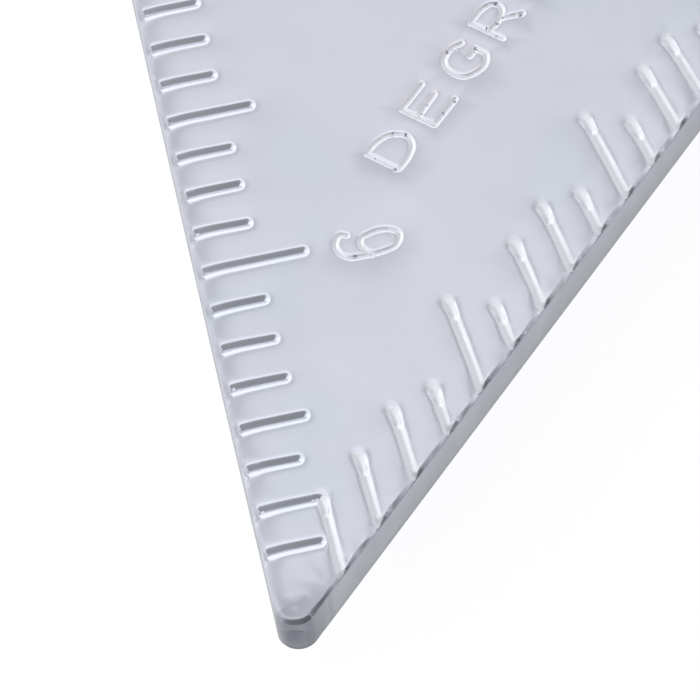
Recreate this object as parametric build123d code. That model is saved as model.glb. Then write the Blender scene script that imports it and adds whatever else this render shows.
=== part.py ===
"""Adjustable rafter square: a seven-inch cast aluminium triangle with a swinging two-rail fence.

The fence turns about the corner that both scales are read from, and a thumb knob clamps it
anywhere along an arc slot.  Millimetres.  The origin is that corner, on the plate's mid-plane:
+X runs along the ruled edge to the 45 degree tip, +Y runs along the fence at rest, +Z is up
through the face that carries the clamp knob.
"""

from build123d import *

import os
from math import acos, atan2, ceil, cos, degrees, floor, hypot, radians, sin, sqrt

# ---------------------------------------------------------------- driving dimensions
INCH = 25.4

# scales
scale_length = 177.8         # the ruler's seven inches, and the same along the fence
ruler_parts = 8              # graduations to the inch
scale_degrees = 90
mark_depth = 0.35
ruler_mark_outer_w = 1.00    # ruler marks narrow towards their inner ends
ruler_mark_inner_w = 0.76
protractor_mark_outer_w = 0.72   # degree marks widen towards theirs
protractor_mark_inner_w = 1.04
inch_mark_reach = 6.0        # how far the ruler marks run in from the scale line
half_mark_reach = 4.8
eighth_mark_reach = 2.9
tip_zone = 14.0              # ruler marks this near to the tip are cut to the room that it leaves
tip_half_reach = 3.5
tip_quarter_reach = 3.1
tip_eighth_reach = 2.5
protractor_long_mark = 7.6   # every fifth degree mark, from the plate's edge
protractor_mid_mark = 5.9
protractor_short_mark = 3.9  # the degree marks on either side of a long one
mark_overrun = 1.5           # degree marks are cut out past the edge

# plate
plate_t = 3.5
ruler_margin = 1.6           # plate beyond the ruled scale line
hyp_margin = 1.9             # plate beyond the line of the degree scale
tip_r = 1.4
edge_bevel = 0.5
ear_r = 9.0                  # round ear about the pivot
ear_blend_r = 3.0
web_inset = 1.0              # the strip of plate between the rails stops this far inside them
web_taper = 22.0             # distance from the pivot at which strip and rails are full width
window_margin = 16.0         # plate left between the window and the scale lines
window_r = 81.0              # the window's arc, about the pivot
window_corner_r = 5.0
notch_r = 0.9                # scribing notches along the window's lower edge
notch_parts = 4              # notches to the inch
hang_hole_r = 4.0
hang_hole_inset = 18.6       # hole to the hypotenuse

# swing and arc slot
swing_max = 70.0
slot_half_w = 3.25
clamp_along = 96.0           # clamp bolt, along the fence from the pivot

# rails
rail_w = 13.0
rail_h = 8.5
rail_gap = 0.4               # rail to plate
rail_past_tie = 2.0
rail_end_r = 3.0
rail_bevel = 0.8
grip_groove_w = 3.4
grip_groove_depth = 0.9
grip_groove_inset = 30.0     # groove to either end of the rail

# glide strips
strip_w = 8.4
strip_t = 1.1
strip_gap = 0.1              # strip to plate
strip_start = 14.0
strip_inset = 2.0            # strip to the end of the plate

# pivot
shoulder_r = 4.0
shoulder_clearance = 0.05
bush_wall = 1.5
bush_flange_r = 7.2
bush_gap = 0.1               # bush to rail, and between the two bushes inside the plate
pivot_head_r = 6.0
pivot_head_h = 2.6
pivot_head_recess = 3.4      # depth of the counterbore that hides the head
pivot_socket_af = 4.0
pivot_socket_depth = 1.5
pivot_thread_r = 3.0
pivot_eye_r = 1.5            # scribing hole through the pivot
nut_af = 10.0
nut_h = 3.8
nut_chamfer = 0.7
nut_recess = 6.0             # depth of the hexagonal pocket that holds the nut
pivot_washer_t = 0.8
disc_spring_t = 0.5
disc_spring_h = 0.9
pocket_clearance = 0.3
hex_clearance = 0.1
screw_clearance = 0.1

# tie at the fence's far end
tie_length = 14.0
tie_plate_gap = 2.6          # tie block to the plate's corner
tie_block_inset = 0.5        # tie block inside the rails' sides
tie_block_r = 1.5
tie_screw_r = 1.5
tie_head_r = 2.75
tie_head_h = 2.0
tie_socket_af = 2.0
tie_socket_depth = 1.1
tie_screw_pitch = 7.6
tie_nut_af = 5.5
tie_nut_h = 2.4
tie_recess = 3.0

# clamp
clamp_bolt_r = 2.5
clamp_hole_clearance = 0.2
thread_clearance = 0.05      # knob insert to bolt
clamp_head_r = 5.2
clamp_head_h = 2.0
clamp_head_recess = 3.0
clamp_neck = 5.0             # square under the head
clamp_neck_h = 2.6
clamp_head_bevel = 1.2
bolt_end_chamfer = 0.5
sleeve_clearance = 0.1       # sleeve to slot
sleeve_relief = 0.15         # sleeve ends below the plate's faces, so that the rails clamp
washer_r = 6.2
washer_t = 1.0
stack_gap = 0.05             # faces that turn on each other
knob_r = 10.5
knob_h = 13.0
knob_foot_r = 6.4
knob_foot_h = 2.0
knob_crown_bevel = 1.0
knob_flutes = 10
knob_flute_r = 2.4
knob_flute_depth = 1.2
insert_r = 4.6
insert_h = 9.0
bolt_end_room = 2.4          # bore above the bolt's end, so that the knob can travel
bolt_stand = 9.5             # bolt end above the upper rail
cap_r = 6.4
cap_t = 0.9
cap_dome = 0.5
head_chamfer = 0.3

# ---------------------------------------------------------------- derived places
plate_top = plate_t / 2
hyp_sum = scale_length + sqrt(2) * hyp_margin       # x + y along the plate's hypotenuse
hang_hole_at = hyp_sum / sqrt(2) - hang_hole_inset  # from the pivot, at half the right angle
rail_inner = plate_top + rail_gap
rail_outer = rail_inner + rail_h
rail_mid = -rail_w / 2
web_w = rail_w - web_inset
slot_radius = hypot(rail_mid, clamp_along)
slot_start = degrees(atan2(rail_mid, clamp_along))  # from +Y towards +X
tie_start = hypot(web_w, hyp_sum) + tie_plate_gap
tie_centre = tie_start + tie_length / 2
tie_screw_places = [tie_centre - tie_screw_pitch / 2, tie_centre + tie_screw_pitch / 2]
rail_end = tie_start + tie_length + rail_past_tie
bush_r = shoulder_r + bush_wall
head_seat = rail_outer - pivot_head_recess          # pivot bolt's head, above the upper rail's web
nut_seat = rail_outer - nut_recess                  # below the mid-plane, as are the next three
nut_bottom = nut_seat + pivot_washer_t + disc_spring_h
tie_seat = rail_outer - tie_recess
clamp_seat = rail_outer - clamp_head_recess
washer_bottom = rail_outer + stack_gap
washer_top = washer_bottom + washer_t
knob_bottom = washer_top + stack_gap
knob_top = knob_bottom + knob_h
bolt_top = rail_outer + bolt_stand


# ---------------------------------------------------------------- helpers
def polar(radius, angle):
    """Point at a radius from the pivot, with its angle measured from the fence's rest line."""
    return radius * sin(radians(angle)), radius * cos(radians(angle))


def tangent_point(point, radius):
    """Where the line from a point touches a circle about the pivot, on the outer side."""
    angle = atan2(point[1], point[0]) + acos(radius / hypot(*point))
    return radius * cos(angle), radius * sin(angle)


def slab(sketch, bottom, top):
    """A sketch drawn in plan, as a solid between two heights."""
    return extrude(Pos(0, 0, bottom) * sketch, amount=top - bottom)


def rod(radius, bottom, top, at=(0, 0)):
    """An upright cylinder between two heights."""
    return slab(Pos(*at) * Circle(radius), bottom, top)


def ring(outer, inner, bottom, top, at=(0, 0)):
    return slab(Pos(*at) * (Circle(outer) - Circle(inner)), bottom, top)


def hexagon(across_flats):
    return RegularPolygon(across_flats / 2, 6, major_radius=False)


def mirrored_down(shape):
    """The same shape below the plate's mid-plane."""
    return mirror(shape, about=Plane.XY)


def socket_head(radius, height, socket_af, socket_depth, seat):
    """Cylinder head of a hexagon socket screw, on its seat."""
    head = rod(radius, seat, seat + height)
    head = chamfer(head.edges().group_by(Axis.Z)[-1], head_chamfer)
    return head - slab(hexagon(socket_af), seat + height - socket_depth, seat + height)


def hex_nut(across_flats, bore_r, bottom, top):
    return slab(hexagon(across_flats) - Circle(bore_r), bottom, top)


# ---------------------------------------------------------------- plate
def strip_outline(width, end):
    """Plan of a strip beside the guide line whose near end wraps the pivot."""
    shoulder = (-width, web_taper)
    strip = Polygon((0, end), (-width, end), shoulder, tangent_point(shoulder, ear_r), (0, 0), align=None)
    return strip + Circle(ear_r)


def blend_ear(outline, corner):
    """Round the inner corner where a straight side meets the ear."""
    joint = outline.vertices().sort_by_distance(Vector(*corner))[0]
    return fillet(joint, ear_blend_r)


def plate_outline():
    tip = (hyp_sum + ruler_margin, -ruler_margin)
    triangle = Polygon((0, hyp_sum), (0, -ruler_margin), tip, align=None)
    triangle = fillet(triangle.vertices().sort_by(Axis.X)[-1], tip_r)
    outline = triangle + strip_outline(web_w, hyp_sum)
    return blend_ear(outline, (sqrt(ear_r**2 - ruler_margin**2), -ruler_margin))


def window_outline():
    """Quarter-round window with a row of scribing notches along its lower edge."""
    reach = sqrt(window_r**2 - window_margin**2)
    corner = (window_margin, window_margin)
    lower = Line(corner, (reach, window_margin))
    arc = RadiusArc(lower @ 1, (window_margin, reach), -window_r)
    window = make_face(Curve() + [lower, arc, Line(arc @ 1, corner)])
    window = fillet(window.vertices(), window_corner_r)
    pitch = INCH / notch_parts
    room = window_corner_r + notch_r
    first = ceil((window_margin + room) / pitch)
    last = floor((reach - room) / pitch)
    return window + [Pos(n * pitch, window_margin) * Circle(notch_r) for n in range(first, last + 1)]


def slot_outline():
    """Arc slot that stops the clamp bolt's sleeve at both ends of the swing."""
    start, end = polar(slot_radius, slot_start), polar(slot_radius, slot_start + swing_max)
    return SlotArc(RadiusArc(start, end, slot_radius), 2 * slot_half_w)


def mark_outline(start, reach, outer_w, inner_w):
    """One graduation along +X, which tapers from its outer width to its inner one."""
    upper = [(start, outer_w / 2), (reach, inner_w / 2)]
    lower = [(x, -y) for x, y in reversed(upper)]
    return Polygon(*upper, *lower, align=None)


def ruler_mark_reach(count):
    """How far a ruler mark runs in, by its place in the inch and in the ruler."""
    half, quarter = ruler_parts // 2, ruler_parts // 4
    near_tip = scale_length - count * INCH / ruler_parts < tip_zone
    if count % ruler_parts == 0:
        return inch_mark_reach
    if count % half == 0:
        return tip_half_reach if near_tip else half_mark_reach
    if not near_tip:
        return eighth_mark_reach
    return tip_quarter_reach if count % quarter == 0 else tip_eighth_reach


def ruler_marks():
    """Marks that start where the edge's bevel ends, all along the ruler past the ear."""
    pitch = INCH / ruler_parts
    start = edge_bevel - ruler_margin
    first = ceil((ear_r + ruler_mark_outer_w) / pitch)
    past_last = round(scale_length / pitch)
    return [
        Pos(count * pitch, 0)
        * Rot(0, 0, 90)
        * mark_outline(start, ruler_mark_reach(count), ruler_mark_outer_w, ruler_mark_inner_w)
        for count in range(first, past_last)
    ]


def degree_mark_length(angle):
    """Long at the fives, short beside them, middling between; the last mark is a middling one."""
    if angle % 5 == 0:
        return protractor_long_mark
    if angle % 5 in (1, 4) and angle < scale_degrees - 1:
        return protractor_short_mark
    return protractor_mid_mark


def degree_marks():
    """Marks that point at the pivot, one to the degree along the hypotenuse."""
    marks = []
    for angle in range(1, scale_degrees):
        edge = hyp_sum / (sin(radians(angle)) + cos(radians(angle)))
        length = degree_mark_length(angle)
        mark = mark_outline(-mark_overrun, length, protractor_mark_outer_w, protractor_mark_inner_w)
        marks.append(Pos(*polar(edge, angle)) * Rot(0, 0, -90 - angle) * mark)
    return marks


def make_square_plate():
    plate = slab(plate_outline(), -plate_top, plate_top)
    rims = plate.faces().filter_by(Axis.Z).edges()
    plate = chamfer(rims, edge_bevel)
    plate -= slab(window_outline(), -plate_t, plate_t)
    plate -= slab(slot_outline(), -plate_t, plate_t)
    plate -= rod(bush_r, -plate_t, plate_t)
    plate -= rod(hang_hole_r, -plate_t, plate_t, polar(hang_hole_at, scale_degrees / 2))
    marks = ruler_marks() + degree_marks()
    return plate - [slab(mark, plate_top - mark_depth, plate_t) for mark in marks]


def make_pivot_bush():
    """Upper one of the flanged pair that lines the plate's pivot hole."""
    sleeve = ring(bush_r, shoulder_r + shoulder_clearance, bush_gap / 2, plate_top)
    return sleeve + ring(bush_flange_r, shoulder_r + shoulder_clearance, plate_top, rail_inner - bush_gap)


# ---------------------------------------------------------------- fence
def tie_rods(radius, bottom, top):
    """Upright cylinders on the axes of the tie screws."""
    return [rod(radius, bottom, top, (rail_mid, y)) for y in tie_screw_places]


def strip_slab():
    """Space of the upper glide strip, at its rail's inner face."""
    end = hyp_sum - strip_inset
    plan = Pos(rail_mid, (strip_start + end) / 2) * SlotOverall(end - strip_start, strip_w, rotation=90)
    bottom = plate_top + strip_gap
    return slab(plan, bottom, bottom + strip_t)


def clamp_hole():
    return rod(clamp_bolt_r + clamp_hole_clearance, 0, 2 * rail_outer, (rail_mid, clamp_along))


def make_rail():
    """What both rails have in common, as the upper one."""
    outline = blend_ear(strip_outline(rail_w, rail_end), (0, ear_r))
    corners = [corner for corner in outline.vertices() if abs(corner.Y - rail_end) < rail_end_r / 2]
    rail = slab(fillet(corners, rail_end_r), rail_inner, rail_outer)
    rail = chamfer(rail.faces().sort_by(Axis.Z)[-1].edges(), rail_bevel)
    groove = Box(2 * grip_groove_depth, rail_end - 2 * grip_groove_inset, grip_groove_w)
    rail -= Pos(-rail_w, rail_end / 2, (rail_inner + rail_outer) / 2) * groove
    rail -= rod(shoulder_r, 0, 2 * rail_outer)
    rail = rail - strip_slab() - clamp_hole()
    return rail - tie_rods(tie_screw_r + screw_clearance, 0, 2 * rail_outer)


def make_glide_strip():
    return strip_slab() - clamp_hole()


def make_upper_rail():
    rail = make_rail() - rod(pivot_head_r + pocket_clearance, head_seat, 2 * rail_outer)
    return rail - tie_rods(tie_head_r + pocket_clearance, tie_seat, 2 * rail_outer)


def make_lower_rail():
    """Modelled face up, then mirrored: pockets for the nuts, a square hole for the clamp bolt."""
    rail = make_rail() - slab(hexagon(nut_af + 2 * hex_clearance), nut_seat, 2 * rail_outer)
    for y in tie_screw_places:
        pocket = Pos(rail_mid, y) * Rot(0, 0, 30) * hexagon(tie_nut_af + 2 * hex_clearance)
        rail -= slab(pocket, tie_seat, 2 * rail_outer)
    rail -= rod(clamp_head_r + pocket_clearance, clamp_seat, 2 * rail_outer, (rail_mid, clamp_along))
    side = clamp_neck + 2 * hex_clearance
    rail -= slab(Pos(rail_mid, clamp_along) * Rectangle(side, side), clamp_seat - clamp_neck_h, clamp_seat)
    return mirrored_down(rail)


def make_pivot_bolt():
    """Shoulder bolt with a scribing hole: its head and its end both lie below the rails' faces."""
    head = socket_head(pivot_head_r, pivot_head_h, pivot_socket_af, pivot_socket_depth, head_seat)
    shoulder = rod(shoulder_r, -nut_seat, head_seat)
    thread = rod(pivot_thread_r, -nut_bottom - nut_h, -nut_seat)
    return head + shoulder + thread - rod(pivot_eye_r, -rail_outer, rail_outer)


def make_pivot_washer():
    return mirrored_down(ring(nut_af / 2, pivot_thread_r, nut_seat, nut_seat + pivot_washer_t))


def make_pivot_disc_spring():
    """Conical ring between washer and nut that keeps the swing's drag even."""
    base = nut_seat + pivot_washer_t
    inner, outer = pivot_thread_r + hex_clearance, nut_af / 2
    section = Polygon(
        (outer, base),
        (outer, base + disc_spring_t),
        (inner, base + disc_spring_h),
        (inner, base + disc_spring_h - disc_spring_t),
        align=None,
    )
    return mirrored_down(revolve(Plane.XZ * section, Axis.Z))


def make_pivot_nut():
    """The upper corners, as it is modelled before it is mirrored, are turned off."""
    top = nut_bottom + nut_h
    crown = rod(nut_af / 2 / cos(radians(30)), nut_bottom, top)
    crown = chamfer(crown.edges().group_by(Axis.Z)[-1], nut_chamfer)
    return mirrored_down(hex_nut(nut_af, pivot_thread_r, nut_bottom, top) & crown)


def make_tie_block():
    plan = RectangleRounded(rail_w - 2 * tie_block_inset, tie_length, tie_block_r)
    block = slab(Pos(rail_mid, tie_centre) * plan, -rail_inner, rail_inner)
    return block - tie_rods(tie_screw_r + screw_clearance, -rail_outer, rail_outer)


def make_tie_screws():
    head = socket_head(tie_head_r, tie_head_h, tie_socket_af, tie_socket_depth, tie_seat)
    screw = head + rod(tie_screw_r, -tie_seat - tie_nut_h, tie_seat)
    return [Pos(rail_mid, y) * screw for y in tie_screw_places]


def make_tie_nuts():
    nut = Rot(0, 0, 30) * hex_nut(tie_nut_af, tie_screw_r, tie_seat, tie_seat + tie_nut_h)
    return [Pos(rail_mid, y) * mirrored_down(nut) for y in tie_screw_places]


# ---------------------------------------------------------------- clamp
def make_clamp_bolt():
    """Carriage bolt: its square neck keeps it from turning in the lower rail."""
    head = rod(clamp_head_r, clamp_seat, clamp_seat + clamp_head_h)
    head = chamfer(head.edges().group_by(Axis.Z)[-1], clamp_head_bevel)
    neck = slab(Rectangle(clamp_neck, clamp_neck), clamp_seat - clamp_neck_h, clamp_seat)
    shank = rod(clamp_bolt_r, clamp_neck_h - clamp_seat, bolt_top)
    shank = chamfer(shank.edges().group_by(Axis.Z)[-1], bolt_end_chamfer)
    return Pos(rail_mid, clamp_along) * (mirrored_down(head + neck) + shank)


def make_slot_sleeve():
    """Brass sleeve on the clamp bolt, which runs along the arc slot and meets its ends."""
    top = plate_top - sleeve_relief
    return ring(slot_half_w - sleeve_clearance, clamp_bolt_r, -top, top, (rail_mid, clamp_along))


def make_captive_washer():
    bore_r = clamp_bolt_r + clamp_hole_clearance
    return ring(washer_r, bore_r, washer_bottom, washer_top, (rail_mid, clamp_along))


def make_knob_grip():
    """Fluted thumb knob on a narrower foot, hollow for the insert, the bolt's end and the cap."""
    foot_top = knob_bottom + knob_foot_h
    profile = Polygon(
        (0, knob_bottom),
        (knob_foot_r, knob_bottom),
        (knob_foot_r, foot_top),
        (knob_r, foot_top),
        (knob_r, knob_top - knob_crown_bevel),
        (knob_r - knob_crown_bevel, knob_top),
        (0, knob_top),
        align=None,
    )
    grip = revolve(Plane.XZ * profile, Axis.Z)
    for index in range(knob_flutes):
        flute = polar(knob_r + knob_flute_r - knob_flute_depth, index * 360 / knob_flutes)
        grip -= rod(knob_flute_r, foot_top, knob_top, flute)
    grip -= rod(insert_r, knob_bottom, knob_bottom + insert_h)
    grip -= rod(clamp_bolt_r + clamp_hole_clearance, knob_bottom, bolt_top + bolt_end_room)
    grip -= rod(cap_r, knob_top - cap_t, knob_top)
    return Pos(rail_mid, clamp_along) * grip


def make_knob_insert():
    bore_r = clamp_bolt_r + thread_clearance
    return ring(insert_r, bore_r, knob_bottom, knob_bottom + insert_h, (rail_mid, clamp_along))


def make_knob_cap():
    cap = rod(cap_r, knob_top - cap_t, knob_top + cap_dome)
    cap = chamfer(cap.edges().group_by(Axis.Z)[-1], cap_dome)
    return Pos(rail_mid, clamp_along) * cap


# ---------------------------------------------------------------- export
def main():
    nodes = {
        "square_plate": make_square_plate(),
        "pivot_bush_upper": make_pivot_bush(),
        "pivot_bush_lower": mirrored_down(make_pivot_bush()),
        "upper_rail": make_upper_rail(),
        "lower_rail": make_lower_rail(),
        "upper_glide_strip": make_glide_strip(),
        "lower_glide_strip": mirrored_down(make_glide_strip()),
        "pivot_bolt": make_pivot_bolt(),
        "pivot_washer": make_pivot_washer(),
        "pivot_disc_spring": make_pivot_disc_spring(),
        "pivot_nut": make_pivot_nut(),
        "tie_block": make_tie_block(),
        "tie_screws": make_tie_screws(),
        "tie_nuts": make_tie_nuts(),
        "clamp_bolt": make_clamp_bolt(),
        "slot_sleeve": make_slot_sleeve(),
        "captive_washer": make_captive_washer(),
        "knob_grip": make_knob_grip(),
        "knob_insert": make_knob_insert(),
        "knob_cap": make_knob_cap(),
    }
    os.makedirs("parts", exist_ok=True)
    for name, shape in nodes.items():
        solids = shape if isinstance(shape, list) else shape.solids()
        export_step(Compound(children=list(solids)), f"parts/{name}.step")


main()
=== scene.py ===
"""Looks of the adjustable rafter square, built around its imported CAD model.

Plans and reliefs are worked out in millimetres, in the frame of the CAD: the origin is the corner
that both scales are read from, +X runs along the ruled edge and +Z up.  Meshes are in metres.
"""

import math

import bpy
import numpy as np
from mathutils import Matrix, Vector
from mathutils.geometry import delaunay_2d_cdt
from mathutils.kdtree import KDTree


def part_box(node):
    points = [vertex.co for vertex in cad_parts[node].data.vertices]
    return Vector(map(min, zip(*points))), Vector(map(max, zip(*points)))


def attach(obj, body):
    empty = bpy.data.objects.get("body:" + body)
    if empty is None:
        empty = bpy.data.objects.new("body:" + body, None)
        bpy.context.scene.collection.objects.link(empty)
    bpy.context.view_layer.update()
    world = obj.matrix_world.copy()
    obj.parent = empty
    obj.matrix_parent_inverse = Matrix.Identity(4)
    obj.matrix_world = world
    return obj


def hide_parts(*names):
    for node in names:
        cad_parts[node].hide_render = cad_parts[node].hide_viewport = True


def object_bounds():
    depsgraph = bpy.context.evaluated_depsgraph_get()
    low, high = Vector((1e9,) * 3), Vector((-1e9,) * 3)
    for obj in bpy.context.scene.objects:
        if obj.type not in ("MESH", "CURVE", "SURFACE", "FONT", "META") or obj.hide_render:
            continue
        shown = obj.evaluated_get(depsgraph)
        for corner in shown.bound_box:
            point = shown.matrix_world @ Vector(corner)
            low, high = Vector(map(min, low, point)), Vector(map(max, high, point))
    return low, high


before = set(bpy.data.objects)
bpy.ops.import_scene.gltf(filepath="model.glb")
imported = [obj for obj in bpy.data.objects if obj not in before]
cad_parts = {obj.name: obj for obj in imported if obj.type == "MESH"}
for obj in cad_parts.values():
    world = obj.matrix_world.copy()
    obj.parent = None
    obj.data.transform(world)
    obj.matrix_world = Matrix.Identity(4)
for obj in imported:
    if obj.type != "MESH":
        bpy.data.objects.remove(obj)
cad_low, cad_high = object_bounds()

MM = 0.001
INCH = 25.4

# ---------------------------------------------------------------- plan of the plate
SCALE_LENGTH = 177.8            # seven inches, along the ruled edge and along the fence
RULER_MARGIN = 1.6              # plate beyond the ruled scale line
HYP_MARGIN = 1.9                # plate beyond the line of the degree scale
TIP_R = 1.4
EAR_R = 9.0                     # round ear about the pivot
EAR_BLEND_R = 3.0
WEB_W = 12.0                    # strip of plate between the rails
WEB_TAPER = 22.0                # y from which it has its full width
WEB_CORNER_R = 0.6
WINDOW_MARGIN = 16.0
WINDOW_R = 81.0
WINDOW_CORNER_R = 5.0
NOTCH_R = 0.9
NOTCH_PITCH = INCH / 4
HANG_HOLE_R = 4.0
HANG_HOLE_INSET = 18.6          # hole to the hypotenuse
BUSH_R = 5.5
SLOT_HALF_W = 3.25
CLAMP_AT = (-6.5, 96.0)         # where the clamp is at rest, at one end of the slot
SWING = 70.0
PLATE_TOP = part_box("square_plate")[1].z / MM
HYP_SUM = SCALE_LENGTH + math.sqrt(2) * HYP_MARGIN      # x + y along the hypotenuse
UP_HYP = np.array([-1, 1]) / math.sqrt(2)               # along the hypotenuse, away from the tip
OFF_HYP = np.array([-1, -1]) / math.sqrt(2)             # square to it, into the plate
ON_EDGE = 0.01                  # a point this close to an edge's line is on it

# ---------------------------------------------------------------- relief of the plate
VIEW_X = 126.0                  # the plate beyond this is seen closest, and its mesh is finest
HYP_EDGE = (0.22, 0.19, 0.90, 0.0)      # width, height, crispness, and share of the walls' duller finish and painted shade on a rounding
# The ruled edge's and the tip's roundings take on painted shade from the walls' colour, along with their
# rougher finish.
RULED_EDGE = (0.42, 0.05, 0.0, 0.6)
TIP_EDGE = (0.27, 0.24, 0.8, 0.4)
HOLE_EDGE = (0.32, 0.28, 0.0, 0.0)
EDGE_UNEVEN = 0.12              # share by which the rounding of the hypotenuse comes and goes
STEEP_DULL_AND_SHADE = 0.3                # most of the walls' duller finish and painted shade that a steep rounding takes on at the top
TIP_BOW = 0.10                  # the ruled edge leaves its line by this much at the tip
RULED_ROLL = (2.3, 0.24, 2.2)   # width, height and power of the face's slow fall to an edge
HYP_ROLL = (2.2, 0.11, 2)
RULER_MARK_DEPTH = 0.27
DEGREE_MARK_DEPTH = 0.13
RULER_MARK_DISH = (1.05, 0.062) # reach and depth of the soft dip that surrounds a mark
DEGREE_MARK_DISH = (0.74, 0.062)
LETTER_DEPTH = 0.10
LETTER_HALF_W = 0.18
LETTER_DISH = (0.55, 0.07)
GROOVE_ROUGH_AND_HIGHLIGHT = 0.85                # share of rougher surface left in degree marks and letters, painted lighter as a highlight

rng = np.random.default_rng(11)


def polar(radius, angle):
    """Point at a radius from the pivot, with its angle in degrees from the fence towards +X."""
    return np.array([radius * math.sin(math.radians(angle)), radius * math.cos(math.radians(angle))])


def line_radius(angle, line_sum):
    """How far from the pivot, at such an angle, the line lies on which x + y is this sum."""
    return line_sum / (math.sin(math.radians(angle)) + math.cos(math.radians(angle)))


def arc(centre, radius, start, end, step=0.5):
    """Points along an arc, both ends included, with angles in degrees from +X."""
    count = math.ceil(abs(math.radians(end - start)) * radius / step) + 2
    angles = np.radians(np.linspace(start, end, count))
    return np.column_stack([centre[0] + radius * np.cos(angles), centre[1] + radius * np.sin(angles)])


def circle(centre, radius):
    """A hole's edge, run clockwise."""
    return arc(centre, radius, 360, 0)[:-1]


def heading(x, y):
    """Angle of a direction in degrees from +X."""
    return math.degrees(math.atan2(y, x))


# ---------------------------------------------------------------- outlines, in plan
def plate_outline():
    """Counter-clockwise, from the end of the ruled edge round the tip and back round the ear."""
    tip_y = TIP_R - RULER_MARGIN
    tip = (HYP_SUM - math.sqrt(2) * TIP_R - tip_y, tip_y)
    corner = (-WEB_W + WEB_CORNER_R, HYP_SUM - WEB_CORNER_R)
    far = math.hypot(WEB_W, WEB_TAPER)
    touch = heading(-WEB_W, WEB_TAPER) + math.degrees(math.acos(EAR_R / far))
    blend_y = -RULER_MARGIN - EAR_BLEND_R
    blend = (math.sqrt((EAR_R + EAR_BLEND_R) ** 2 - blend_y**2), blend_y)
    leave = heading(*blend)
    return np.vstack([
        arc(tip, TIP_R, -90, 45, step=0.1),
        [(0, HYP_SUM)],
        arc(corner, WEB_CORNER_R, 90, 180, step=0.15),
        [(-WEB_W, WEB_TAPER)],
        arc((0, 0), EAR_R, touch, 360 + leave, step=0.4),
        arc(blend, EAR_BLEND_R, 180 + leave, 90, step=0.4)[1:],
    ])


def window_outline():
    """Clockwise quarter-round window with scribing notches along its lower edge."""
    inner = WINDOW_MARGIN + WINDOW_CORNER_R
    outer = math.sqrt((WINDOW_R - WINDOW_CORNER_R) ** 2 - inner**2)
    swing = heading(outer, inner)
    first = math.ceil((inner + NOTCH_R) / NOTCH_PITCH)
    last = math.floor((outer - NOTCH_R) / NOTCH_PITCH)
    notches = [(count * NOTCH_PITCH, WINDOW_MARGIN) for count in range(first, last + 1)]
    return np.vstack([
        arc((inner, inner), WINDOW_CORNER_R, 180, 270),
        *[arc(notch, NOTCH_R, 180, 360, step=0.2) for notch in notches],
        arc((outer, inner), WINDOW_CORNER_R, 270, 360 + swing),
        arc((0, 0), WINDOW_R, swing, 90 - swing, step=0.8)[1:-1],
        arc((inner, outer), WINDOW_CORNER_R, 90 - swing, 180),
    ])[::-1]


def slot_outline():
    """Clockwise arc slot about the pivot."""
    radius = math.hypot(*CLAMP_AT)
    start = heading(*CLAMP_AT)
    end = start - SWING
    first, last = [(radius * math.cos(math.radians(angle)), radius * math.sin(math.radians(angle)))
                   for angle in (start, end)]
    return np.vstack([
        arc((0, 0), radius + SLOT_HALF_W, start, end, step=0.8),
        arc(last, SLOT_HALF_W, end, end - 180)[1:-1],
        arc((0, 0), radius - SLOT_HALF_W, end, start, step=0.8),
        arc(first, SLOT_HALF_W, start + 180, start)[1:-1],
    ])


def edge_step(point):
    """Spacing of the mesh along the plate's edge: fine where marks run out over it."""
    hyp_near, hyp_far, ruled_near, ruled_far, elsewhere = 0.18, 0.36, 0.3, 0.6, 1.2
    near = point[0] > VIEW_X
    if abs(point.sum() - HYP_SUM) < ON_EDGE and point[0] > 0:
        return hyp_near if near else hyp_far
    if abs(point[1] + RULER_MARGIN) < ON_EDGE:
        return ruled_near if near else ruled_far
    return elsewhere


def divide(outline):
    """The outline with its long sides cut into even steps."""
    points = []
    for start, end in zip(outline, np.roll(outline, -1, axis=0)):
        count = max(1, round(np.linalg.norm(end - start) / edge_step((start + end) / 2)))
        points += [start + (end - start) * k / count for k in range(count)]
    return np.array(points)


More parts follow.
